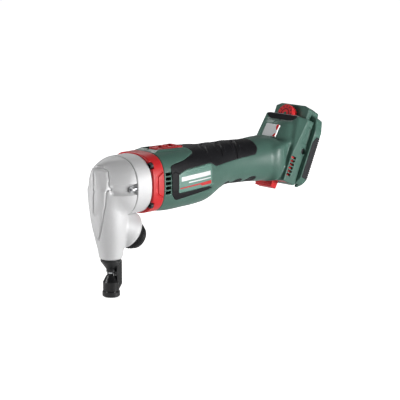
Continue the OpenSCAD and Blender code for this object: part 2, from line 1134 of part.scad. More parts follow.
module switch_slider() {
    color("crimson")
        difference() {
            union() {
                translate([64.8, -10, 147])
                    cube([33, 20, 5.6]);
                translate([68, -3.4, 146.5])
                    cube([18, 6.8, 7.3]);
            }
            for (x = [68.5, 83.5])
                translate([x, -7, 150.4])
                    cube([11, 14, 6]);
        }
}

module switch_rod() {
    color("gray")
        translate([70, -2.6, 145.5])
            cube([48, 5.2, 1]);
}

module microswitch() {
    color("#222222")
        translate([119.5, -6, 135])
            cube([14, 12, 10]);
}

module control_module() {
    color("#3a3a40")
        translate([140, -15, 108])
            cube([58, 30, 20]);
}

module wiring_leads() {
    color("darkorange") {
        for (y = [-12, 12])
            translate([89.2, y, axis_z - 19.4])
                rotate([0, 90, 0])
                    cylinder(h = 52, r = 1.4);
        for (y = [-8, 8])
            translate([198, y, 112])
                rotate([0, 90, 0])
                    cylinder(h = 54, r = 1.7);
    }
}

module terminal_solid() {
    foot_box(192.4, 200, 222, 250, 14);
}

module terminal_block() {
    color("#18181a")
        foot_frame()
            difference() {
                terminal_solid();
                for (k = [-2 : 2])
                    translate([191, k * 5.2 - 0.9, 221])
                        cube([10, 1.8, 22]);
            }
}

module contact_blades() {
    color("goldenrod")
        foot_frame()
            for (k = [-2 : 2])
                translate([192.4, k * 5.2 - 0.45, 224])
                    cube([6.6, 0.9, 18]);
}

module wheel_pocket() {
    foot_frame() {
        translate([173.6, 0, wheel_s])
            rotate([0, 90, 0])
                cylinder(h = 9.6, r = wheel_r + 0.8);
        translate([173.6, -wheel_r - 0.8, wheel_s])
            cube([9.6, 2 * wheel_r + 1.6, 30]);
    }
}

module thumbwheel() {
    color("crimson")
        foot_frame()
            difference() {
                translate([174, 0, wheel_s])
                    rotate([0, 90, 0])
                        linear_extrude(8)
                            polygon([for (i = [0 : 71]) let (r = wheel_r - (i % 4 == 3 ? 0.7 : 0)) [r * cos(5 * i), r * sin(5 * i)]]);
                translate([173, 0, wheel_s])
                    rotate([0, 90, 0])
                        cylinder(h = 10, r = 2 + run);
            }
}

module pot_solid() {
    translate([183.4, -7, 256.4])
        cube([5, 14, 20]);
}

module speed_pot() {
    color("darkgreen")
        foot_frame() {
            pot_solid();
            translate([173.8, 0, wheel_s])
                rotate([0, 90, 0])
                    cylinder(h = 10, r = 2);
        }
}

module filter_pocket() {
    foot_frame() {
        foot_box(173.6, 182.4, foot_low - 2, 223, 30);
        foot_box(174.1, 185.4, foot_low - 2, foot_low + 1.2, 13.4);
    }
}

module dust_filter() {
    color("crimson")
        foot_frame() {
            difference() {
                foot_box(174, 182, foot_low + 0.2, 222, 29.5);
                foot_box(170, 185, foot_low + 3.2, 230, 27.6);
            }
            foot_box(174.5, 185, foot_low - 9, foot_low + 0.3, 13);
        }
}

gear_housing();
gear_flange();
head_screws();
flange_ring();
flange_screws();
ring_gear();
crank_bearing();
bearing_shield();
front_bearing();
rear_bearing();
stator_core();
stator_windings();
left_shell();
right_shell();
battery_shoe();
shell_screws();
grip_left();
grip_right();
nameplate_left();
nameplate_right();
microswitch();
control_module();
wiring_leads();
terminal_block();
contact_blades();
speed_pot();
dial_bezel();
status_led();
tail_pad();
bumper_left();
bumper_right();
emblem_plate();
knob_bush();
eccentric_shaft();
planet_carrier();
planet_pins();
planet_gear_1();
planet_gear_2();
planet_gear_3();
con_rod();
needle_bearing();
ram();
wrist_pin();
punch();
die_holder();
die();
die_nut();
guide_bush();
retaining_ring();
rotor_shaft();
sun_pinion();
rotor_core();
cooling_fan();
clamp_knob();
clamp_screw();
thrust_pin();
switch_slider();
switch_rod();
thumbwheel();
dust_filter();
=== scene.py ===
"""Looks of the cordless right-angle nibbler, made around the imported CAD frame.

Lengths are millimetres in the row frame of the CAD. Moulded and cast pieces are written as
fields that are negative inside, and turned into closed quad meshes in metres by piece().
"""

import json
import math

import bmesh
import bpy
import numpy as np
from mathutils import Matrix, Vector


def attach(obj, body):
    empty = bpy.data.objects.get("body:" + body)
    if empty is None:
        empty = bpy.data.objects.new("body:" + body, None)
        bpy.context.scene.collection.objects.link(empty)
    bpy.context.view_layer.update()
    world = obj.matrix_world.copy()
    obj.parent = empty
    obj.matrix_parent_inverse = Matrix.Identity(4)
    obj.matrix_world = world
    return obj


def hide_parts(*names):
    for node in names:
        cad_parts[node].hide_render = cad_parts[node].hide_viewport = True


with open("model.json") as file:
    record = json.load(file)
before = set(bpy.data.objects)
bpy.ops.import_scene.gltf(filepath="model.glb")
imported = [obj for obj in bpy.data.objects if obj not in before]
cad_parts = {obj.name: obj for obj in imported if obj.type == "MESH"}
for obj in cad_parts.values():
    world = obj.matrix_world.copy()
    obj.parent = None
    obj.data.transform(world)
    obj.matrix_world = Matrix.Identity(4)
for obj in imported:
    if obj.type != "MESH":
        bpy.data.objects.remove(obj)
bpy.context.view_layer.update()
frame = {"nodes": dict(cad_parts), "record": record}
MM = 0.001
scene = bpy.context.scene
COARSE = 1.0

# Camera ---------------------------------------------------------------------

CAMERA_AZIMUTH, CAMERA_RISE, CAMERA_DISTANCE = -45, 11.5, 1.9
CAMERA_TARGET = Vector((0.133895, 0, 0.085248))
SENSOR = 36
LENS = 153.9


def direction(azimuth, rise):
    """Unit vector from the object towards a viewer."""
    a, e = math.radians(azimuth), math.radians(rise)
    return Vector((math.sin(a) * math.cos(e), -math.cos(a) * math.cos(e), math.sin(e)))


def add_object(name, data):
    """A new object in the scene."""
    made = bpy.data.objects.new(name, data)
    scene.collection.objects.link(made)
    return made


back = direction(CAMERA_AZIMUTH, CAMERA_RISE)
lens = bpy.data.cameras.new("camera")
lens.lens = LENS
lens.sensor_width = SENSOR
camera = add_object("camera", lens)
camera.location = CAMERA_TARGET + back * CAMERA_DISTANCE
camera.rotation_euler = (-back).to_track_quat("-Z", "Y").to_euler()
scene.camera = camera

# Field tools ----------------------------------------------------------------


def soft_max(a, b, k):
    """The larger of two fields, with their meeting edge rounded over about k."""
    h = np.clip(0.5 + 0.5 * (a - b) / k, 0, 1)
    return b + (a - b) * h + k * h * (1 - h)


def soft_min(a, b, k):
    """The smaller of two fields, rounded the same way."""
    return -soft_max(-a, -b, k)


def cut(a, b, k=0.5):
    """Field a with b taken away."""
    return soft_max(a, -b, k)


def ramp(low, high, q):
    """Smooth step from 0 at low to 1 at high; low may be the larger."""
    t = np.clip((q - low) / (high - low), 0, 1)
    return t * t * (3 - 2 * t)


def curve(keys, values):
    """A smooth curve through key points, level beyond its ends."""
    order = np.argsort(keys)
    keys, values = np.array(keys, float)[order], np.array(values, float)[order]
    slope = np.gradient(values, keys)

    def at(q):
        q = np.clip(q, keys[0], keys[-1])
        i = np.clip(np.searchsorted(keys, q) - 1, 0, len(keys) - 2)
        width = keys[i + 1] - keys[i]
        t = (q - keys[i]) / width
        t2, t3 = t * t, t * t * t
        start = (2 * t3 - 3 * t2 + 1) * values[i] + (t3 - 2 * t2 + t) * width * slope[i]
        end = (3 * t2 - 2 * t3) * values[i + 1] + (t3 - t2) * width * slope[i + 1]
        return start + end

    return at


def squircle(u, v, a, b, p):
    """A rounded section with half sizes a and b and corner exponent p."""
    u, v = np.abs(u) + 1e-3, np.abs(v)
    r = ((u / a) ** p + (v / b) ** p) ** (1 / p)
    return (1 - 1 / r) * np.hypot(u, v)


def slab(q, low, high):
    """Field between two planes."""
    return np.maximum(low - q, q - high)


def box_field(u, v, w, u_range, v_range, w_range, k=0.6):
    """A box with its edges rounded over about k."""
    f = soft_max(slab(u, *u_range), slab(v, *v_range), k)
    return soft_max(f, slab(w, *w_range), k)


def outline_field(u, v, points):
    """Signed distance to a closed outline."""
    nearest = np.full(np.shape(u), 1e9)
    inside = np.zeros(np.shape(u), bool)
    for (au, av), (bu, bv) in zip(points, points[1:] + points[:1]):
        eu, ev = bu - au, bv - av
        wu, wv = u - au, v - av
        t = np.clip((wu * eu + wv * ev) / (eu * eu + ev * ev), 0, 1)
        nearest = np.minimum(nearest, (wu - t * eu) ** 2 + (wv - t * ev) ** 2)
        if ev:
            inside ^= ((av > v) != (bv > v)) & (u < eu * (v - av) / ev + au)
    nearest = np.sqrt(nearest)
    return np.where(inside, -nearest, nearest)


def line_field(u, v, points):
    """Distance to an open line through the points."""
    nearest = np.full(np.shape(u), 1e9)
    for (au, av), (bu, bv) in zip(points, points[1:]):
        eu, ev = bu - au, bv - av
        wu, wv = u - au, v - av
        t = np.clip((wu * eu + wv * ev) / (eu * eu + ev * ev), 0, 1)
        nearest = np.minimum(nearest, (wu - t * eu) ** 2 + (wv - t * ev) ** 2)
    return np.sqrt(nearest)


def rounded(points, radius, steps=4):
    """The outline with its corners replaced by arcs."""
    out = []
    count = len(points)
    for i in range(count):
        corner = np.array(points[i], float)
        before = np.array(points[i - 1], float) - corner
        after = np.array(points[(i + 1) % count], float) - corner
        reach = min(radius, np.hypot(*before) * 0.45, np.hypot(*after) * 0.45)
        a = corner + before / np.hypot(*before) * reach
        b = corner + after / np.hypot(*after) * reach
        for k in range(steps + 1):
            t = k / steps
            out.append(tuple((1 - t) ** 2 * a + 2 * t * (1 - t) * corner + t * t * b))
    return out


def block_values(field, low, shape, h):
    """The field on a grid, worked out only in blocks near its surface."""
    size = 4
    blocks = [-(-n // size) for n in shape]
    centre = (size - 1) / 2
    axes = [low[i] + (np.arange(blocks[i]) * size + centre) * h for i in range(3)]
    grid = np.meshgrid(*axes, indexing="ij")
    coarse = field(*grid)
    full = np.sign(coarse).repeat(size, 0).repeat(size, 1).repeat(size, 2) * 99.0
    near = np.argwhere(np.abs(coarse) < 7.5 * h)
    offsets = np.stack(np.meshgrid(*[np.arange(size)] * 3, indexing="ij"), -1).reshape(-1, 3)
    for start in range(0, len(near), 20000):
        index = (near[start : start + 20000, None, :] * size + offsets).reshape(-1, 3)
        where = [low[i] + index[:, i] * h for i in range(3)]
        full[index[:, 0], index[:, 1], index[:, 2]] = field(*where)
    return full[: shape[0], : shape[1], : shape[2]]


def net(values):
    """Closed quads round the negative part of a grid of values, one point to a cell."""
    inside = values < 0
    strides = np.array([values.shape[1] * values.shape[2], values.shape[2], 1])
    cells, points = [], []
    for axis in range(3):
        first, second = [slice(None)] * 3, [slice(None)] * 3
        first[axis], second[axis] = slice(0, -1), slice(1, None)
        first, second = tuple(first), tuple(second)
        crossing = inside[first] != inside[second]
        index = np.argwhere(crossing)
        a, b = values[first][crossing], values[second][crossing]
        point = index.astype(float)
        point[:, axis] += a / (a - b)
        ring = []
        for du, dv in ((0, 0), (-1, 0), (-1, -1), (0, -1)):
            cell = index.copy()
            cell[:, (axis + 1) % 3] += du
            cell[:, (axis + 2) % 3] += dv
            ring.append(cell @ strides)
        ring = np.stack(ring, 1)
        ring[a > 0] = ring[a > 0][:, ::-1]
        cells.append(ring)
        points.append(point)
    cells, points = np.concatenate(cells), np.concatenate(points)
    used, quads = np.unique(cells, return_inverse=True)
    quads = quads.reshape(cells.shape)
    flat = quads.ravel()
    count = np.bincount(flat, minlength=len(used))
    spread = np.repeat(points, 4, axis=0)
    middle = [np.bincount(flat, spread[:, i], len(used)) / count for i in range(3)]
    return np.stack(middle, 1), quads


def settle(field, points, h, rounds=2):
    """Moves the points onto the field's surface."""
    reach = 0.25 * h
    for _ in range(rounds):
        x, y, z = points.T
        value = field(x, y, z)
        slope = np.stack(
            [
                field(x + reach, y, z) - field(x - reach, y, z),
                field(x, y + reach, z) - field(x, y - reach, z),
                field(x, y, z + reach) - field(x, y, z - reach),
            ],
            1,
        ) / (2 * reach)
        steep = np.maximum((slope**2).sum(1), 0.2)
        move = -slope * (value / steep)[:, None]
        length = np.sqrt((move**2).sum(1))
        move *= np.minimum(1, 0.5 * h / np.maximum(length, 1e-9))[:, None]
        points = points + move
    return points


def field_mesh(name, field, low, high, h):
    """Mesh in metres of the part of a field inside a box."""
    h = h * COARSE
    low = np.array(low, float) - 2.3 * h
    shape = [int(math.ceil((high[i] + 2.3 * h - low[i]) / h)) + 1 for i in range(3)]
    points, quads = net(block_values(field, low, shape, h))
    points = settle(field, points * h + low, h)
    mesh = bpy.data.meshes.new(name)
    mesh.vertices.add(len(points))
    mesh.vertices.foreach_set("co", (points * MM).astype(np.float32).ravel())
    mesh.loops.add(quads.size)
    mesh.loops.foreach_set("vertex_index", quads.astype(np.int32).ravel())
    mesh.polygons.add(len(quads))
    mesh.polygons.foreach_set("loop_start", np.arange(len(quads), dtype=np.int32) * 4)
    mesh.update(calc_edges=True)
    mesh.validate()
    mesh.shade_smooth()
    return mesh


def place(obj, finish, body, *nodes):
    """Gives a new object its material, body and the CAD nodes it stands for."""
    obj.data.materials.clear()
    obj.data.materials.append(MATERIALS[finish])
    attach(obj, body)
    if nodes:
        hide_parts(*nodes)
    return obj


def piece(name, field, box, h, finish, body, *nodes):
    """One shaped piece, with its material, body and CAD nodes."""
    obj = add_object(name, field_mesh(name, field, box[0], box[1], h))
    return place(obj, finish, body, *nodes)


# Materials ------------------------------------------------------------------

BASE = {m["slot"]: m["base_color"][:3] for m in frame["record"]["materials"]}
BASE.update({
    "green_plastic": (0.075, 0.155, 0.125),
    "label_plate": (0.13, 0.27, 0.22),
    "red_plastic": (0.62, 0.018, 0.022),
    "cast_aluminium": (0.68, 0.68, 0.685),
    "phosphated_steel": (0.006, 0.006, 0.007),
    "knob_steel": (0.007, 0.007, 0.008),
    "black_rubber": (0.012, 0.012, 0.014),
    "emblem_silver": (0.8, 0.81, 0.82),
    "grey_rubber": (0.03, 0.03, 0.033),
})


class Nodes:
    """A short way to write a material's node tree."""

    def __init__(self, name):
        self.material = bpy.data.materials.new(name)
        self.material.use_nodes = True
        self.tree = self.material.node_tree
        self.shader = self.tree.nodes["Principled BSDF"]
        self.place = self.add("ShaderNodeTexCoord").outputs["Object"]

    def add(self, kind, **settings):
        node = self.tree.nodes.new(kind)
        for key, value in settings.items():
            setattr(node, key, value)
        return node

    def link(self, source, target):
        self.tree.links.new(source, target)

    def noise(self, scale, detail=4, stretch=(1, 1, 1)):
        """Noise in the object's own space; scale is in waves per metre."""
        mapping = self.add("ShaderNodeMapping")
        mapping.inputs["Scale"].default_value = stretch
        self.link(self.place, mapping.inputs["Vector"])
        node = self.add("ShaderNodeTexNoise")
        node.inputs["Scale"].default_value = scale
        node.inputs["Detail"].default_value = detail
        self.link(mapping.outputs["Vector"], node.inputs["Vector"])
        return node.outputs["Fac"]

    def span(self, source, low, high, start=0.3, end=0.7):
        node = self.add("ShaderNodeMapRange")
        node.inputs["From Min"].default_value = start
        node.inputs["From Max"].default_value = end
        node.inputs["To Min"].default_value = low
        node.inputs["To Max"].default_value = high
        self.link(source, node.inputs["Value"])
        return node.outputs["Result"]

    def mix(self, factor, first, second):
        node = self.add("ShaderNodeMix", data_type="RGBA")
        self.link(factor, node.inputs["Factor"])
        for socket, value in ((node.inputs["A"], first), (node.inputs["B"], second)):
            if isinstance(value, (tuple, list)):
                socket.default_value = (*value[:3], 1)
            else:
                self.link(value, socket)
        return node.outputs["Result"]

    def edges(self, sharp=0.52, soft=0.6):
        """Near 1 on sharp outer edges, which are lightened for edge wear and as a painted highlight."""
        node = self.add("ShaderNodeNewGeometry")
        return self.span(node.outputs["Pointiness"], 0, 1, sharp, soft)

    def bump(self, source, depth, strength=0.6, below=None):
        node = self.add("ShaderNodeBump")
        node.inputs["Strength"].default_value = strength
        node.inputs["Distance"].default_value = depth
        self.link(source, node.inputs["Height"])
        if below is not None:
            self.link(below, node.inputs["Normal"])
        return node.outputs["Normal"]


def shade(colour, factor):
    """A colour made lighter or darker."""
    return tuple(min(1, c * factor) for c in colour)


def finish_material(
    slot, grain, depth, rough, metal=0.0, tone=0.12, wear_and_highlight=0.25, coat=0.0, streak=(1, 1, 1), shine=0.5
):
    """A moulded, cast or machined finish with grain, slow colour drift, and sharp edges lightened partly
    for wear and partly as a painted highlight.
    """
    base = BASE[slot]
    made = Nodes(slot)
    shader = made.shader
    drift = made.noise(22, 3)
    fine = made.noise(grain, 3, streak)
    colour = made.mix(made.span(drift, 0.0, 1.0), shade(base, 1 - tone), shade(base, 1 + tone))
    colour = made.mix(made.span(fine, 0.0, 0.5), colour, shade(base, 1.0 - 2.2 * tone))
    # Sharp edges get a lighter colour: light edge wear, and a painted highlight standing in for the sheen
    # along ridges.
    edge_wear_and_highlight = made.mix(made.edges(), (0, 0, 0), (wear_and_highlight, wear_and_highlight, wear_and_highlight))
    factor = made.add("ShaderNodeSeparateColor")
    made.link(edge_wear_and_highlight, factor.inputs["Color"])
    colour = made.mix(factor.outputs["Red"], colour, tuple(min(1, 1.6 * c + 0.05) for c in base))
    made.link(colour, shader.inputs["Base Color"])
    made.link(made.span(made.noise(60, 4), rough - 0.06, rough + 0.08), shader.inputs["Roughness"])
    normal = made.bump(fine, depth)
    made.link(made.bump(made.noise(grain * 0.23, 2), depth * 1.5, 0.35, normal), shader.inputs["Normal"])
    shader.inputs["Metallic"].default_value = metal
    shader.inputs["Coat Weight"].default_value = coat
    shader.inputs["Specular IOR Level"].default_value = shine
    shader.inputs["Coat Roughness"].default_value = 0.3
    return made.material


FINISHES = {  # grain in waves per metre, depth of the grain in metres
    "cast_aluminium": dict(grain=1500, depth=0.00016, rough=0.6, metal=0.25, tone=0.035, wear_and_highlight=0.1),
    "screw_steel": dict(grain=900, depth=0.0001, rough=0.28, metal=1.0, tone=0.06, wear_and_highlight=0.3),
    "black_screws": dict(grain=900, depth=0.0001, rough=0.35, metal=0.3, tone=0.2, wear_and_highlight=0.2),
    "red_plastic": dict(grain=1500, depth=0.00012, rough=0.4, tone=0.06, wear_and_highlight=0.12, coat=0.15, shine=0.3),
    "gear_steel": dict(grain=700, depth=0.0001, rough=0.3, metal=1.0, tone=0.08, wear_and_highlight=0.3),
    "bearing_steel": dict(grain=900, depth=0.00005, rough=0.16, metal=1.0, tone=0.04, wear_and_highlight=0.1),
    "shield_aluminium": dict(grain=1400, depth=0.0002, rough=0.5, metal=0.9, tone=0.08, wear_and_highlight=0.2),
    "lamination_steel": dict(
        grain=900, depth=0.0002, rough=0.5, metal=0.8, tone=0.15,
        wear_and_highlight=0.2, streak=(12, 1, 1),
    ),
    "copper_winding": dict(
        grain=900, depth=0.0004, rough=0.3, metal=0.6, tone=0.15,
        wear_and_highlight=0.2, coat=0.5, streak=(1, 6, 6),
    ),
    "green_plastic": dict(
        grain=1700, depth=0.0002, rough=0.38, tone=0.08,
        wear_and_highlight=0.2, coat=0.12, shine=0.22,
    ),
    # The strong edge lightening on black rubber is a painted highlight along the grip's ridges.
    "black_rubber": dict(grain=1500, depth=0.0003, rough=0.5, tone=0.15, wear_and_highlight=0.9, shine=0.14),
    "label_plate": dict(grain=1200, depth=0.00006, rough=0.3, tone=0.06, wear_and_highlight=0.1, coat=0.3),
    "black_plastic": dict(grain=1400, depth=0.0002, rough=0.45, tone=0.2, wear_and_highlight=0.2, shine=0.2),
    "lead_insulation": dict(grain=800, depth=0.0001, rough=0.4, tone=0.1, wear_and_highlight=0.1),
    "contact_brass": dict(grain=900, depth=0.00008, rough=0.25, metal=1.0, tone=0.08, wear_and_highlight=0.3),
    "pot_plastic": dict(grain=900, depth=0.0001, rough=0.3, tone=0.1, wear_and_highlight=0.1),
    "grey_plastic": dict(grain=1500, depth=0.0002, rough=0.42, tone=0.08, wear_and_highlight=0.2),
    "led_lens": dict(grain=600, depth=0.00002, rough=0.1, tone=0.1, wear_and_highlight=0.0, coat=0.8),
    "grey_rubber": dict(grain=1300, depth=0.0003, rough=0.6, tone=0.12, wear_and_highlight=0.2, shine=0.14),
    "emblem_silver": dict(grain=900, depth=0.00005, rough=0.35, metal=0.2, tone=0.05, wear_and_highlight=0.1, coat=0.2),
    "tool_steel": dict(
        grain=900, depth=0.00005, rough=0.2, metal=1.0, tone=0.05,
        wear_and_highlight=0.2, streak=(1, 1, 9),
    ),
    "phosphated_steel": dict(
        grain=1500, depth=0.00008, rough=0.2, metal=0.1, tone=0.2,
        wear_and_highlight=0.2, coat=0.5, shine=0.3,
    ),
    "bush_bronze": dict(grain=1100, depth=0.0002, rough=0.4, metal=1.0, tone=0.1, wear_and_highlight=0.2),
    "knob_steel": dict(grain=1300, depth=0.0002, rough=0.38, metal=0.3, tone=0.2, wear_and_highlight=0.35, shine=0.25),
}
MATERIALS = {slot: finish_material(slot, **finish) for slot, finish in FINISHES.items()}

slots = {part["node"]: part["material_slot"] for part in frame["record"]["subparts"]}
for node_name, node in frame["nodes"].items():
    node.data.materials.clear()
    node.data.materials.append(MATERIALS[slots[node_name]])

# Stations, as in the CAD ----------------------------------------------------

AXIS_Z = 119
SEAM_X, FLANGE_X, BODY_X = 10.8, 31.7, 48.2
TILT = math.radians(25.5)
KNOB_DIP, KNOB_Z = math.radians(30), 80.4
FOOT_FRONT, PLATE_FRONT, FOOT_BACK = 170.5, 191, 203
WALL = 2.6
SIDE_SCREW_Y = 28.2
RING_SCREW_Y, RING_SCREW_RISE = 26.8, 21.4
WHEEL_S = 269
PANEL_FRONT_X, PANEL_BACK_X = -3, 4
VENTS, FOOT_VENTS = 5, 6


def foot(x, z):
    """Foot frame of a point: n runs back along the motor-side normal, s up the foot."""
    return x * math.cos(TILT) - z * math.sin(TILT), x * math.sin(TILT) + z * math.cos(TILT)


def knob(x, z):
    """Knob frame of a point: s runs outward along the axis, t across it and downward."""
    across, dz = math.cos(KNOB_DIP), z - KNOB_Z
    return x * across - dz * math.sin(KNOB_DIP), -x * math.sin(KNOB_DIP) - dz * across


def rod(x, y, z, x0, x1, r):
    """A cylinder along the motor axis."""
    return np.maximum(np.hypot(y, z - AXIS_Z) - r, slab(x, x0, x1))


def upright(x, y, z, z0, z1, r):
    """A cylinder along Z."""
    return np.maximum(np.hypot(x, y) - r, slab(z, z0, z1))


# Cast head ------------------------------------------------------------------

HEAD = [  # x, centre height, half width, half height, corner exponent
    (10.8, 119, 31.4, 31.4, 2.45),
    (4, 118.7, 30.2, 31, 2.2),
    (-4, 118.2, 26.2, 30.2, 2.0),
    (-11, 118, 20.6, 28.6, 1.92),
    (-17, 117.6, 14.9, 26.8, 1.92),
    (-21.5, 117.2, 9.4, 25, 1.95),
    (-24.3, 117, 0.5, 23.5, 2),
]
LEG = [  # z, centre along X, half length, half width, corner exponent
    (118, -4.4, 19.4, 20, 2.1),
    (100, -4, 19.2, 19.8, 2.1),
    (80, -2.2, 18.4, 18.6, 2.1),
    (62, -0.6, 16.2, 16, 2),
    (50, 0, 13.8, 13.8, 2),
    (41.4, 0, 12.4, 12.4, 2),
]
head_x = [q[0] for q in HEAD]
head_centre = curve(head_x, [q[1] for q in HEAD])
head_width_squared = curve(head_x, [q[2] ** 2 for q in HEAD])
head_height = curve(head_x, [q[3] for q in HEAD])
head_power = curve(head_x, [q[4] for q in HEAD])
leg_z = [q[0] for q in LEG]
leg_centre = curve(leg_z, [q[1] for q in LEG])
leg_length = curve(leg_z, [q[2] for q in LEG])
leg_width = curve(leg_z, [q[3] for q in LEG])
leg_power = curve(leg_z, [q[4] for q in LEG])
PANEL = [
    (0, 64), (4.4, 73), (8.8, 87), (12.4, 103), (14.3, 120),
    (14, 130), (11.2, 137.6), (5.8, 141), (0, 141.6),
]
PANEL_OUTLINE = PANEL + [(-y, z) for y, z in PANEL[-2:0:-1]]


def head_skin(x, y, z):
    """Outer form of the cast head, leg and knob boss."""
    width = np.sqrt(np.maximum(head_width_squared(x), 1))
    dome = squircle(y, z - head_centre(x), width, head_height(x), head_power(x))
    dome = np.maximum(dome, slab(x, -24.3, SEAM_X))
    leg = squircle(x - leg_centre(z), y, leg_length(z), leg_width(z), leg_power(z))
    leg = soft_max(leg, slab(z, 41.4, 118), 2.5)
    f = soft_min(dome, leg, 4)
    s, t = knob(x, z)
    radius = np.hypot(t + 1.6, y)
    cone = radius - 13 - 7.6 * np.clip(s / 22, 0, 1) - 0.5 * np.exp(-(((s - 24) / 0.9) ** 2))
    boss = soft_max(cone * 0.94, slab(s, -2, 27.2), 1.2)
    f = soft_min(f, boss, 3)
    panel = outline_field(y, z, PANEL_OUTLINE)
    front = ramp(PANEL_BACK_X, PANEL_FRONT_X, x)
    f = f - 0.4 * ramp(0.5, -0.5, panel) * front
    return f + 1.3 * np.exp(-(((panel - 0.8) / 0.6) ** 2)) * front


def seam(x, z):
    """Depth of the joint line round the head."""
    return 1.3 * np.exp(-(((x - SEAM_X) / 0.6) ** 2)) * ramp(90, 98, z)


def gear_housing(x, y, z):
    """The cast head with its joint line, side channels and bores."""
    f = head_skin(x, y, z) + seam(x, z)
    barrel = squircle(y, z - AXIS_Z, 31.5, 31.5, 2.45)
    f = cut(f, np.maximum(barrel, SEAM_X - x), 1.2)
    ring = squircle(y, z - AXIS_Z, 33.5, 32.9, 3)
    f = cut(f, np.maximum(ring, FLANGE_X - 0.4 - x), 1)
    across = np.clip(1 - ((z - AXIS_Z) / 6.2) ** 2, 0, 1)
    f = f + 4.4 * across * ramp(-17, -10.5, x) * ramp(4, 9, np.abs(y))
    side = np.hypot(np.abs(y) - SIDE_SCREW_Y, z - AXIS_Z)
    f = cut(f, np.maximum(side - 4, slab(x, 3, 8.3)), 0.3)
    f = cut(f, np.maximum(side - 2.05, slab(x, 2.5, 12)), 0.2)
    inner = np.minimum(rod(x, y, z, -7, SEAM_X + 1, 17.2), rod(x, y, z, 7, SEAM_X + 1, 24.1))
    inner = np.minimum(inner, box_field(x, y, z, (-9.5, 9.5), (-13.5, 13.5), (85.3, 105.3)))
    inner = np.minimum(inner, upright(x, y, z, 40, 90, 9.54))
    inner = np.minimum(inner, upright(x, y, z, 83.8, 86.8, 11.6))
    s, t = knob(x, z)
    inner = np.minimum(inner, np.maximum(np.hypot(t, y) - 3.54, 5 - s))
    inner = np.minimum(inner, np.maximum(np.hypot(t, y) - 8, 18 - s))
    return cut(f, inner, 0.3)


def gear_flange(x, y, z):
    """Cast ring behind the head."""
    f = squircle(y, z - AXIS_Z, 31.4, 31.4, 2.45) + seam(x, z)
    f = soft_max(f, slab(x, SEAM_X + 0.05, FLANGE_X), 1.3)
    f = np.minimum(f, rod(x, y, z, 8, SEAM_X + 1, 24))
    inner = np.minimum(rod(x, y, z, 7, 12.9, 17), rod(x, y, z, 12, 20.4, 14))
    inner = np.minimum(inner, rod(x, y, z, 20.4, 33, 24.6))
    inner = np.minimum(inner, rod(x, y, z, 22, 33, 26.5))
    inner = np.minimum(inner, np.maximum(np.hypot(np.abs(y) - SIDE_SCREW_Y, z - AXIS_Z) - 2.05, x - 20))
    return cut(f, inner, 0.3)


BRACKET = [(45.2, 132.5), (38.6, 128.5), (38.6, 109.5), (45.2, 105.5)]


def flange_ring(x, y, z):
    """Red moulding with a raised bracket line on each flank."""
    f = soft_max(squircle(y, z - AXIS_Z, 33, 32.4, 3), slab(x, FLANGE_X + 0.05, BODY_X - 0.1), 1.8)
    flank = ramp(29.5, 31.5, np.abs(y))
    f = f + 1.1 * ramp(1.3, 0.5, line_field(x, z, BRACKET)) * flank
    across, above = np.abs(y), np.abs(z - AXIS_Z) - RING_SCREW_RISE
    screw = np.hypot(across - RING_SCREW_Y, above)
    outward = np.maximum(slab(across, RING_SCREW_Y, 60), slab(above, -3.2, 3.2))
    notch = np.minimum(screw - 4, outward)
    f = cut(f, soft_max(notch, x - 34.9, 1), 0.8)
    inner = np.minimum(rod(x, y, z, 30, 34.7, 26.5), rod(x, y, z, 33.7, 50, 27.5))
    inner = np.minimum(inner, np.maximum(screw - 1.65, 32 - x))
    return cut(f, inner, 0.3)


# Body -----------------------------------------------------------------------

BODY = [  # x, centre height, half width, half height, corner exponent
    (48.2, 119, 32.6, 32.2, 3),
    (60, 118.4, 33, 33, 3),
    (90, 118, 33, 32.8, 2.9),
    (112, 117.6, 32.4, 32, 2.7),
    (122, 117.6, 31.4, 31.2, 2.6),
    (131, 118.2, 29.2, 29.8, 2.5),
    (140, 119.6, 27, 28, 2.4),
    (150, 121.5, 25, 26, 2.3),
    (160, 123, 23.6, 24.4, 2.2),
    (170, 123.3, 23, 24, 2.2),
    (185, 122.6, 23, 24, 2.2),
    (203, 121.6, 23.6, 24, 2.2),
    (222, 121, 25.6, 25.4, 2.3),
    (236, 121.5, 27, 24.2, 2.6),
    (242, 121.8, 27, 24, 2.6),
]
body_x = [q[0] for q in BODY]
body_centre = curve(body_x, [q[1] for q in BODY])
body_width = curve(body_x, [q[2] for q in BODY])
body_height = curve(body_x, [q[3] for q in BODY])
body_power = curve(body_x, [q[4] for q in BODY])

HUMP_SIDE = [(49.5, 140), (49.5, 150.5), (58, 152.6), (97, 150.8), (101.5, 146.5), (101.5, 140)]
HUMP_FRONT = [(-26, 133), (-19, 146.4), (-13.5, 153), (13.5, 153), (19, 146.4), (26, 133)]
NECK_SIDE = [(231, 97.6), (238, 97.8), (266.6, 160.6), (257.5, 161), (253.4, 158), (243, 142), (231, 136)]
# Facet on each front corner of the foot, widening upward
CHAMFER = np.array([-425, 475, 82.5]) / 642.7
GRIP_OUTLINE = rounded(
    [(58.5, 137), (66, 138.6), (80, 140.4), (99, 145.4), (101.6, 147), (101.6, 160), (200, 160),
     (205, 156), (207, 148), (206.6, 138), (201, 131.3), (131, 127.4), (121, 133), (80, 130.8),
     (69, 127), (69, 106), (118, 107.6), (123, 104.8), (66, 99), (59.6, 106)], 3, 3)
PLATE_OUTLINE = rounded(
    [(69.4, 106.6), (118, 108.2), (121, 110), (121, 132.4), (80, 130.2), (69.4, 126.4)], 1.5, 2)
PADS = [
    rounded(
        [
            (x, 92), (x + 2, 101.5), (x + 6.6, 104.8 + rise),
            (x + 13.6, 105 + rise), (x + 16.8, 102.6 + rise), (x + 18.4, 92),
        ],
        2.5, 3,
    )
    for x, rise in ((150, 0), (169.5, 0.4), (189.8, 0.9))
]
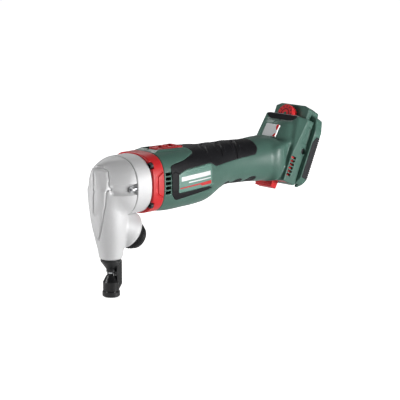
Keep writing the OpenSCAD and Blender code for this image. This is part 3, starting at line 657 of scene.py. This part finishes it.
SCREWS = [(112, 92.5, 24.5, 20.4), (212, 133, 22, 20.4), (268.5, 127.4, 31, -28)]
RAISED_BACK = [(-1, 262), (25.5, 262), (25.5, 280), (18, 283.6), (-1, 283.6)]
SIDE_PANEL = [(181, 239), (190, 239), (190, 259), (184.6, 259)]


def handle(x, y, z):
    """The smooth form of motor housing, handle and neck."""
    f = squircle(y, z - body_centre(x), body_width(x), body_height(x), body_power(x))
    return soft_max(f, slab(x, BODY_X + 0.05, 239), 1.4)


def soft_region(x, z):
    """Side-view field of everything covered by soft overmould."""
    f = outline_field(x, z, GRIP_OUTLINE)
    for outline in PADS:
        f = np.minimum(f, outline_field(x, z, outline))
    return f


def body_outer(x, y, z, inset=0.0):
    """The plastic body without its openings; inset moves the skin inward."""
    f = handle(x, y, z) + inset
    n, s = foot(x, z)
    crown = 8.5 * (y / 22) ** 2 * ramp(134, 146, z)
    neck = outline_field(x - crown, z, NECK_SIDE)
    neck = soft_max(neck, np.abs(y) - 27 + 0.2 * np.maximum(z - 140, 0), 7)
    f = soft_min(f, neck + inset, 9)
    block = soft_max(slab(n, FOOT_FRONT, PLATE_FRONT + 0.5 + inset), slab(s, 190, 267), 2)
    chamfer = CHAMFER[0] * (n - FOOT_FRONT) + CHAMFER[1] * (np.abs(y) - 24) + CHAMFER[2] * (s - 267)
    block = soft_max(block, np.maximum(np.abs(y) - 32.5, chamfer), 1.6)
    return soft_min(f, block + inset, 3)


def shell_field(x, y, z):
    """Both halves of the plastic body."""
    n, s = foot(x, z)
    f = body_outer(x, y, z)
    hump = soft_max(outline_field(x, z, HUMP_SIDE), outline_field(y, z, HUMP_FRONT), 0.8)
    f = soft_min(f, hump, 0.8)
    wide = np.abs(y)
    f = soft_min(f, soft_max(outline_field(wide, s, RAISED_BACK), slab(n, 183.4, 192), 1.2), 1.0)
    f = f + 0.9 * ramp(0.4, -0.4, outline_field(n, s, SIDE_PANEL)) * ramp(27, 29, wide)
    boss = np.hypot(n - 187.5, s - 230.6)
    f = f - 0.8 * ramp(5.4, 4.9, boss) * ramp(27, 29, wide)
    f = cut(f, soft_max(soft_region(x, z) - 0.1, -handle(x, y, z) - 1.62, 0.3), 0.4)
    plate = soft_max(outline_field(x, z, PLATE_OUTLINE) - 0.1, -handle(x, y, z) - 0.85, 0.3)
    f = cut(f, soft_max(plate, 20 - wide, 0.3), 0.4)
    # Hollow inside, with posts for the screws
    inner = body_outer(x, y, z, WALL)
    inner = np.maximum(inner, slab(x, 40, 300))
    for px, pz, _, _ in SCREWS:
        inner = cut(inner, np.hypot(x - px, z - pz) - 4.4, 0.6)
    f = cut(f, inner, 0.4)
    f = cut(f, rod(x, y, z, 40, 94, 26), 0.2)
    f = cut(f, box_field(x, y, z, (61.4, 121.4), (-4, 4), (145.2, 147.2)), 0.2)
    # Openings
    for k in range(VENTS):
        slot_z = 107.6 + 5 * k
        vent = box_field(x, z, wide, (50.4, 58), (slot_z, slot_z + 3.2), (27, 40), 0.5)
        f = cut(f, vent, 0.6)
    for k in range(FOOT_VENTS):
        slot_s = 197.4 + 4.1 * k
        vent = box_field(n, s, wide, (172.4, 179.8), (slot_s, slot_s + 2.6), (28, 38), 0.4)
        f = cut(f, vent, 0.5)
    f = cut(f, box_field(x, y, z, (57.5, 98.9), (-10.6, 10.6), (146.6, 170)), 0.6)
    wheel = np.maximum(np.hypot(y, s - WHEEL_S) - 11.8, slab(n, 173.6, 183.2))
    wheel = np.minimum(wheel, box_field(n, s, y, (173.6, 183.2), (WHEEL_S, WHEEL_S + 30), (-11.8, 11.8)))
    f = cut(f, wheel, 0.3)
    f = cut(f, box_field(n, s, y, (173.6, 182.4), (188, 223), (-30, 30)), 0.3)
    f = cut(f, box_field(n, s, y, (174.1, 185.4), (186, 191.2), (-13.4, 13.4)), 0.3)
    f = cut(f, box_field(n, s, y, (172.3, 182.95), (262.9, 270), (-22.1, 22.1), 0.2), 0.3)
    f = cut(f, tail_pad(x, y, z) - 0.12, 0.3)
    f = cut(f, box_field(n, s, y, (183.4, 188.4), (256.4, 276.4), (-7, 7), 0.2), 0.2)
    f = cut(f, emblem_field(x, y, z) - 0.12, 0.3)
    for px, pz, _, seat in SCREWS:
        across = np.hypot(x - px, z - pz)
        outward = y * math.copysign(1, seat)
        f = cut(f, np.maximum(across - 3.6, abs(seat) - outward), 0.4)
        f = cut(f, np.maximum(across - 2.0, -17 - outward), 0.2)
    return np.maximum(f, n - PLATE_FRONT)


def tail_pad(x, y, z):
    """Soft black pad below the speed control, with a curved lower edge."""
    n, s = foot(x, z)
    lower = 257.3 + 7.5 * (np.abs(y) / 23) ** 2.6
    f = soft_max(slab(n, FOOT_FRONT - 0.25, FOOT_FRONT + 1.8), slab(s, lower, 266.9), 0.6)
    return soft_max(f, np.abs(y) - 22.8, 1.5)


def emblem_axes(x, z):
    """Frame of the emblem: u up the neck, w out of its face."""
    a = math.radians(57)
    dx, dz = x - 249, z - 151
    return dx * math.cos(a) + dz * math.sin(a), -dx * math.sin(a) + dz * math.cos(a)


def emblem_field(x, y, z):
    """Plain badge on the neck."""
    u, w = emblem_axes(x, z)
    return box_field(u, y, w, (-7.8, 7.8), (-10.2, 10.2), (-2, 0.6), 0.9)


def emblem_bars(x, y, z):
    """Two plain red bars along the emblem's right edge."""
    u, w = emblem_axes(x, z)
    upper = outline_field(u, y, [(0.8, -9.9), (7.5, -9.9), (7.5, -6.6), (4.4, -6.6), (0.8, -8.2)])
    lower = outline_field(u, y, [(-7.5, -9.9), (-3.4, -9.9), (-3.4, -8.4), (-7.5, -5.4)])
    return soft_max(np.minimum(upper, lower), slab(w, 0.2, 0.85), 0.25)


def half(field, side):
    """One side of a field, cut along the middle."""

    def cut_half(x, y, z):
        return soft_max(field(x, y, z), 0.02 - side * y, 0.4)

    return cut_half


def grip_field(x, y, z):
    """Soft overmould on the handle with moulded groove panels."""
    skin = handle(x, y, z)
    proud = 0.3
    across = np.abs(y)
    depth = 0
    for start in (118, 142, 166):
        u = x - start
        rib = line_field(u, across, [(0, 20), (3, 12), (9, 3)])
        arc = line_field(u, across, [(4.4, 20.5), (8, 15), (12.4, 9), (14.6, 3.4)])
        tick = line_field(u, across, [(12, 19), (15.4, 14)])
        depth = depth + 0.95 * ramp(2.2, 1.1, arc) - 0.4 * ramp(0.8, 0.3, rib) - 0.35 * ramp(0.7, 0.3, tick)
    top = ramp(126, 130, z)
    bar = slab(z, 109, 130) + np.abs(x - 63.8) * 0.6
    f = skin - proud + depth * top - 0.45 * ramp(1.2, 0.4, bar)
    f = soft_max(f, -(skin + 1.6), 0.3)
    return soft_max(f, soft_region(x, z), 0.7)


def plate_field(x, y, z):
    """Nameplate with two engraved lines."""
    skin = handle(x, y, z)
    upper = line_field(x, z, [(80, 127.6), (96, 128.2), (99, 129.4), (117, 130)])
    lower = line_field(x, z, [(82, 125.8), (97, 126.4), (100, 127.6), (115, 128.2)])
    lines = np.minimum(upper, lower)
    f = skin - 0.12 + 0.25 * ramp(0.55, 0.2, lines)
    f = soft_max(f, -(skin + 0.8), 0.3)
    return soft_max(f, outline_field(x, z, PLATE_OUTLINE) + 0.05, 0.4)


WHITE_BARS = [
    [(73, 118.6), (118.5, 120), (118.5, 125), (73, 123.4)],
    [(84, 115.6), (118.5, 116.6), (118.5, 118), (84, 117)],
]
RED_LINE = [
    (71, 110.6), (102, 111.7), (104.5, 110), (119.4, 110.6),
    (119.4, 114.4), (103, 113.4), (71, 111.9),
]


def plate_line(x, y, z):
    """Red line along the foot of the nameplate."""
    skin = handle(x, y, z)
    f = soft_max(skin - 0.3, -(skin + 0.3), 0.2)
    return soft_max(f, outline_field(x, z, RED_LINE), 0.2)


def plate_bars(x, y, z):
    """Two plain light bars on the nameplate."""
    skin = handle(x, y, z)
    f = soft_max(skin - 0.25, -(skin + 0.3), 0.2)
    bars = [outline_field(x, z, bar) for bar in WHITE_BARS]
    return soft_max(f, np.minimum(*bars), 0.2)


def dial_marks(x, y, z):
    """Raised black scale on the face of the speed wheel."""
    n, s = foot(x, z)
    radius = np.hypot(y, s - WHEEL_S)
    angle = np.arctan2(y, s - WHEEL_S)
    step = math.radians(30)
    off = (angle / step - np.round(angle / step)) * step * radius
    ticks = np.maximum(np.abs(off) - 0.45, slab(radius, 7.2, 10))
    arc = slab(radius, 5, 6)
    return soft_max(np.minimum(ticks, arc), slab(n, 173.82, 174.4), 0.15)


SHOE_OUTLINE = rounded(
    [
        (-1, 190), (26, 190), (34, 195), (38, 201), (38, 258),
        (34, 272), (25.5, 275.5), (25.5, 280), (18, 283.6), (-1, 283.6),
    ],
    1.2, 2,
)
SHOE_STEP = [(-1, 268), (16, 268), (22, 273), (22, 290), (-1, 290)]


def battery_shoe(x, y, z):
    """Rear frame of the foot, with the channel and rails for a slide-on battery."""
    n, s = foot(x, z)
    wide = np.abs(y)
    frame_outline = outline_field(wide, s, SHOE_OUTLINE)
    f = soft_max(frame_outline, slab(n, PLATE_FRONT + 0.02, FOOT_BACK), 1.6)
    step = ramp(0.5, -0.5, outline_field(wide, s, SHOE_STEP))
    f = f + 1.1 * step * ramp(199, 200, n)
    f = cut(f, box_field(n, s, wide, (192.4, 210), (180, 262), (-1, 26), 0.8), 0.8)
    f = cut(f, box_field(n, s, wide, (194.6, 198.6), (180, 262), (-1, 31), 0.3), 0.4)
    f = cut(f, bumper_field(x, y, z) - 0.1, 0.3)
    return cut(f, box_field(n, s, wide, (192.4, 200), (222, 250), (-1, 14), 0.1), 0.2)


BUMPER = rounded([(192.6, 201.6), (202.9, 201.6), (202.9, 252), (197, 252), (192.6, 244)], 1.2, 2)


def bumper_field(x, y, z):
    """Rubber strip on the side of the battery foot."""
    n, s = foot(x, z)
    f = soft_max(outline_field(n, s, BUMPER), slab(np.abs(y), 35, 38.25), 0.9)
    ribs = 0.5 + 0.5 * np.cos(2 * math.pi * s / 2.6)
    return f + 0.35 * ramp(0.4, 0.9, ribs) * ramp(196.5, 197.5, n)


def slider_field(x, y, z):
    """Sliding switch: a low block with two finger windows and a centre rib."""
    f = soft_max(slab(x, 64.8, 97.8), slab(y, -10, 10), 2.2)
    f = soft_max(f, slab(z, 147, 152.6), 1.6)
    rib = box_field(x, y, z, (66.5, 88), (-3.4, 3.4), (147, 153.75), 1)
    f = soft_min(f, rib, 0.6)
    for start in (68.5, 83.5):
        window = box_field(x, y, z, (start, start + 11), (-7, 7), (150.4, 160), 1.2)
        f = cut(f, window, 0.8)
    return f


def knob_field(x, y, z):
    """Clamp knob with a crossed knurl, a neck line and a turned-down end."""
    s, t = knob(x, z)
    radius = np.hypot(t, y)
    angle = np.arctan2(t, y)
    pitch = 36
    cross = np.maximum(np.cos(pitch * angle + 2.2 * s), np.cos(pitch * angle - 2.2 * s))
    band = ramp(28.8, 29.6, s) * ramp(37.4, 36.6, s)
    r = 15.4 + band * (0.8 - 0.55 * ramp(0.2, 0.95, cross)) - 2.3 * ramp(37.6, 44.4, s)
    f = soft_max(radius - r, slab(s, 28, 44.4), 1)
    f = f + 0.4 * np.exp(-(((s - 38.6) / 0.5) ** 2))
    f = cut(f, soft_max(radius - 9.5, 43.4 - s, 0.5), 0.4)
    return cut(f, np.maximum(radius - 5, s - 41.4), 0.2)


def bezel_field(x, y, z):
    """Surround of the speed wheel, with a seat for the small light."""
    n, s = foot(x, z)
    f = box_field(n, s, y, (172.32, 182.92), (263, 267.9), (-22, 22), 0.7)
    f = cut(f, box_field(n, s, y, (173.6, 183.2), (250, 280), (-11.9, 11.9), 0.3), 0.4)
    return cut(f, np.hypot(n - 180, y + 17.5) - 1.5, 0.3)


def filter_field(x, y, z):
    """Red dust filter: a frame with a grid behind each row of vents, and a pull tab."""
    n, s = foot(x, z)
    f = box_field(n, s, y, (174, 182), (190.2, 222), (-29.5, 29.5), 0.6)
    f = cut(f, box_field(n, s, y, (170, 185), (193.2, 230), (-27.6, 27.6), 0.3), 0.4)
    holes = np.maximum(np.abs((n - 175) % 3 - 1.5), np.abs((s - 195) % 3 - 1.5)) - 0.95
    holes = np.maximum(holes, box_field(n, s, np.abs(y), (175, 181), (195, 219), (26, 31), 0.1))
    f = cut(f, holes, 0.2)
    tab = box_field(n, s, y, (174.5, 185), (181, 190.6), (-13, 13), 1.6)
    grip = 0.4 * ramp(0.3, 0.8, 0.5 + 0.5 * np.cos(2 * math.pi * s / 2.2)) * ramp(188, 187, s)
    return soft_min(f, tab + grip, 0.5)


def foot_corners(n_range, s_range, half_width):
    """Row-frame box round a box in the foot frame."""
    corners = []
    for n in n_range:
        for s in s_range:
            x = n * math.cos(TILT) + s * math.sin(TILT)
            z = -n * math.sin(TILT) + s * math.cos(TILT)
            corners.append((x, z))
    low = (min(c[0] for c in corners), -half_width, min(c[1] for c in corners))
    high = (max(c[0] for c in corners), half_width, max(c[1] for c in corners))
    return low, high


ROOT = "housing"
piece(
    "gear_housing_casting", gear_housing, ((-30, -34, 41), (34, 34, 153)), 0.5,
    "cast_aluminium", ROOT, "gear_housing",
)
piece(
    "gear_flange_casting", gear_flange, ((8, -32, 87), (32, 32, 151)), 0.55,
    "cast_aluminium", ROOT, "gear_flange",
)
piece(
    "flange_ring_moulding", flange_ring, ((31, -34, 86), (49, 34, 152)), 0.5,
    "red_plastic", ROOT, "flange_ring",
)
for side, word in ((-1, "left"), (1, "right")):
    near, far = (-0.5, 34) if side > 0 else (-34, 0.5)
    piece(
        f"{word}_shell_moulding", half(shell_field, side), ((47, near, 84), (295, far, 181)), 0.7,
        "green_plastic", ROOT, f"{word}_shell",
    )
    piece(
        f"grip_{word}_overmould", half(grip_field, side), ((57, near, 92), (209, far, 153)), 0.6,
        "black_rubber", ROOT, f"grip_{word}",
    )
    near, far = (20, 34) if side > 0 else (-34, -20)
    piece(
        f"nameplate_{word}_plate", half(plate_field, side), ((68, near, 105), (123, far, 134)), 0.4,
        "label_plate", ROOT, f"nameplate_{word}",
    )
    piece(
        f"nameplate_{word}_line", half(plate_line, side), ((70, near, 109), (120, far, 115)), 0.3,
        "red_plastic", ROOT,
    )
    piece(
        f"nameplate_{word}_bars", half(plate_bars, side), ((70, near, 113), (121, far, 127)), 0.3,
        "emblem_silver", ROOT,
    )
    near, far = (34, 39) if side > 0 else (-39, -34)
    low, high = foot_corners((192, 203.5), (201, 253), 39)
    box = (low[0], near, low[2]), (high[0], far, high[2])
    piece(
        f"bumper_{word}_strip", half(bumper_field, side), box, 0.4,
        "grey_rubber", ROOT, f"bumper_{word}",
    )
piece(
    "battery_shoe_frame", battery_shoe, foot_corners((190.5, 203.5), (189, 284.4), 39), 0.55,
    "green_plastic", ROOT, "battery_shoe",
)
piece(
    "tail_pad_soft", tail_pad, foot_corners((170, 173), (256, 268), 24), 0.4,
    "black_rubber", ROOT, "tail_pad",
)
piece(
    "dial_bezel_frame", bezel_field, foot_corners((172, 183.2), (262.5, 268.5), 23), 0.4,
    "grey_plastic", ROOT, "dial_bezel",
)
piece(
    "emblem_badge", emblem_field, ((240, -11, 141), (258, 11, 161)), 0.35,
    "emblem_silver", ROOT, "emblem_plate",
)
piece(
    "emblem_red_bars", emblem_bars, ((240, -11, 141), (258, -4, 161)), 0.3,
    "red_plastic", ROOT,
)
piece(
    "dial_marks", dial_marks, foot_corners((173.5, 174.6), (258.5, 279.5), 11), 0.25,
    "black_rubber", "dial",
)
piece(
    "switch_slider_cap", slider_field, ((64, -11, 146.4), (99, 11, 154.2)), 0.35,
    "red_plastic", "slider", "switch_slider",
)
piece(
    "clamp_knob_knurled", knob_field, ((14, -17, 41), (48, 17, 84)), 0.32,
    "knob_steel", "knob", "clamp_knob",
)
piece(
    "dust_filter_insert", filter_field, foot_corners((173.5, 185), (180.5, 222.5), 30), 0.5,
    "red_plastic", "filter", "dust_filter",
)

# Floor and light ------------------------------------------------------------

LIGHT_DISTANCE = 1.3


def area_light(name, azimuth, rise, power, size=0.5):
    """A square light that faces the object from a distance."""
    data = bpy.data.lights.new(name, "AREA")
    data.size = size
    data.energy = power
    light = add_object(name, data)
    towards = direction(azimuth, rise)
    light.location = CAMERA_TARGET + towards * LIGHT_DISTANCE
    light.rotation_euler = towards.to_track_quat("Z", "Y").to_euler()


floor_mesh = bpy.data.meshes.new("floor")
floor_size = 6
bm = bmesh.new()
bmesh.ops.create_grid(bm, x_segments=1, y_segments=1, size=floor_size)
bm.to_mesh(floor_mesh)
bm.free()
floor = add_object("floor", floor_mesh)
floor.location = (0.13, 0, -0.0005)
floor_nodes = Nodes("floor_paper")
floor_drift = floor_nodes.span(floor_nodes.noise(3), 0.0, 1.0)
floor_nodes.link(
    floor_nodes.mix(floor_drift, (0.93, 0.93, 0.93), (0.96, 0.96, 0.96)),
    floor_nodes.shader.inputs["Base Color"],
)
floor_nodes.shader.inputs["Roughness"].default_value = 0.9
floor_nodes.shader.inputs["Emission Color"].default_value = (1, 1, 1, 1)
camera_ray = floor_nodes.add("ShaderNodeLightPath").outputs["Is Camera Ray"]
floor_glow = floor_nodes.span(camera_ray, 0.12, 0.9, 0, 1)
floor_nodes.link(floor_glow, floor_nodes.shader.inputs["Emission Strength"])
floor_mesh.materials.append(floor_nodes.material)

world = bpy.data.worlds.new("studio")
scene.world = world
world.use_nodes = True
world.node_tree.nodes["Background"].inputs["Color"].default_value = (1, 1, 1, 1)
world.node_tree.nodes["Background"].inputs["Strength"].default_value = 0.12
scene.view_settings.view_transform = "Standard"
area_light("side", 20, -3, 30, 0.45)
area_light("nose", -118, 12, 8)
area_light("above", -60, 75, 0.6)
area_light("rim", 150, 40, 4)
